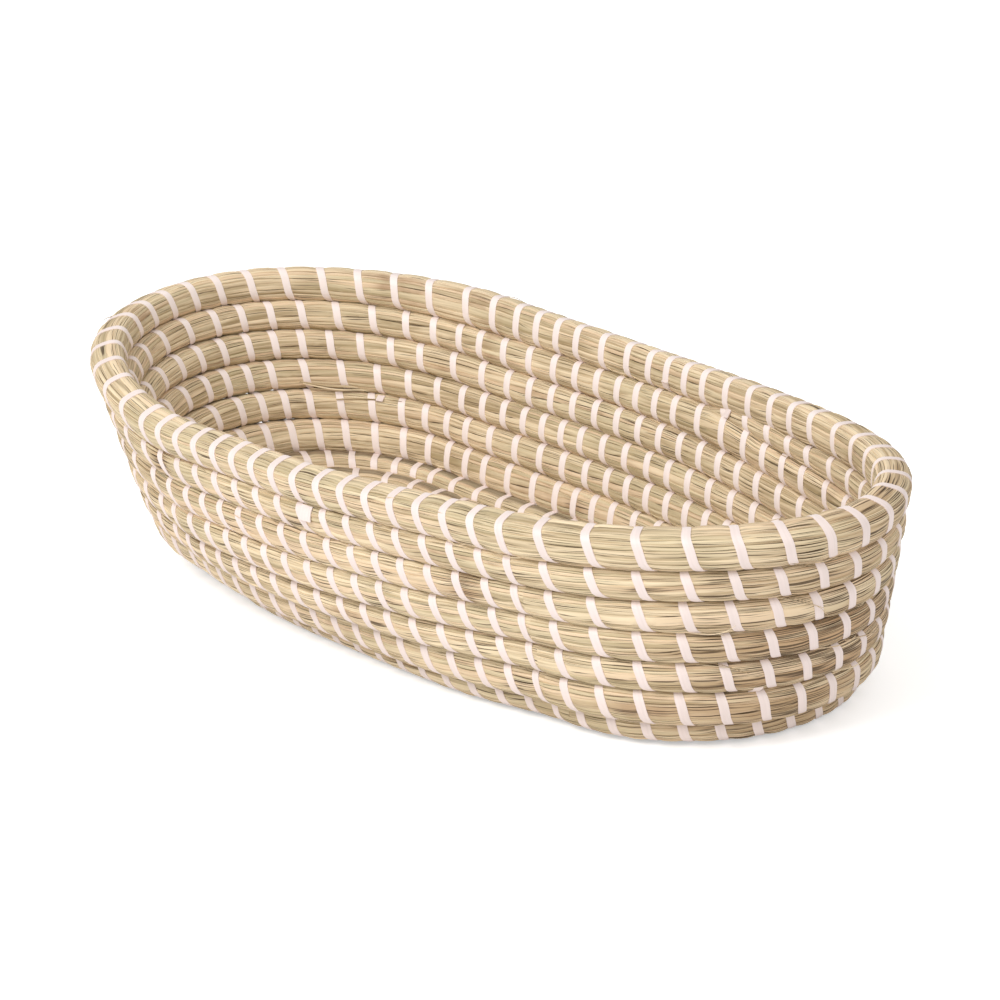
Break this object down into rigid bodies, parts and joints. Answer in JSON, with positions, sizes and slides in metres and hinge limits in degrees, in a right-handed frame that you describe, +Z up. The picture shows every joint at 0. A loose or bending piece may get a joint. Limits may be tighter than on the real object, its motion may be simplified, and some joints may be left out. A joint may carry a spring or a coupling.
{
  "type": "seagrass bread basket",
  "caption": "Oblong open basket of coiled seagrass bound with a flat white strip, with a flat base and leaning walls, for serving or storing bread.",
  "frame": {"origin": "middle of the overall box, on the surface that the basket stands on", "axes": "+X along the basket's length, towards the end that the coil climbs past; +Y across it, away from the viewer of the long side; +Z up"},
  "size_m": [0.3464, 0.1726, 0.0841],
  "materials": {
    "seagrass": "dried, untreated seagrass stalks, matt, straw to greenish beige with brown patches",
    "binding_strip": "flat white polypropylene strip with a satin sheen"
  },
  "bodies": {
    "root": {"base_coil": "seagrass", "wall_coil": "seagrass", "rim_coil": "seagrass", "base_binding": "binding_strip", "wall_binding_1": "binding_strip", "wall_binding_2": "binding_strip", "wall_binding_3": "binding_strip", "wall_binding_4": "binding_strip", "wall_binding_5": "binding_strip", "rim_binding": "binding_strip"}
  },
  "joints": []
}
